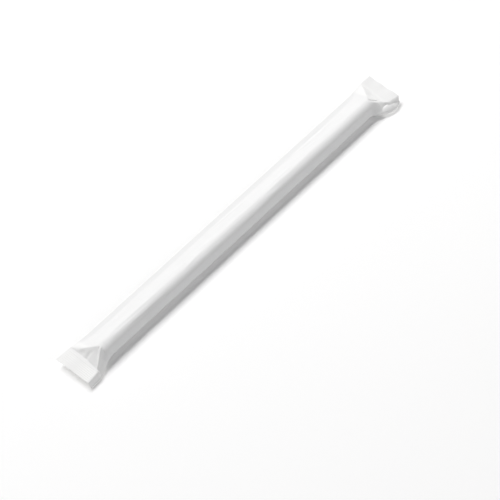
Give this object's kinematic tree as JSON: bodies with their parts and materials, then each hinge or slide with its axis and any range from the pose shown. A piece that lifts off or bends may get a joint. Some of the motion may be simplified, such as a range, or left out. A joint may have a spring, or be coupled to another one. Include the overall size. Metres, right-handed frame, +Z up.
{
  "type": "wrapped drinking straw",
  "caption": "Drinking straw sealed in a white paper sleeve, with a flat crimped tab at each end and a glued lap underneath.",
  "frame": {"origin": "under the middle of the sleeve, on the surface that it lies on", "axes": "+X along the sleeve, +Y across it, +Z up"},
  "size_m": [0.24, 0.0204, 0.0085],
  "materials": {
    "wrapper_paper": "uncoated white tissue-weight paper, matt"
  },
  "bodies": {
    "root": {"wrapped_straw": "wrapper_paper"}
  },
  "joints": []
}
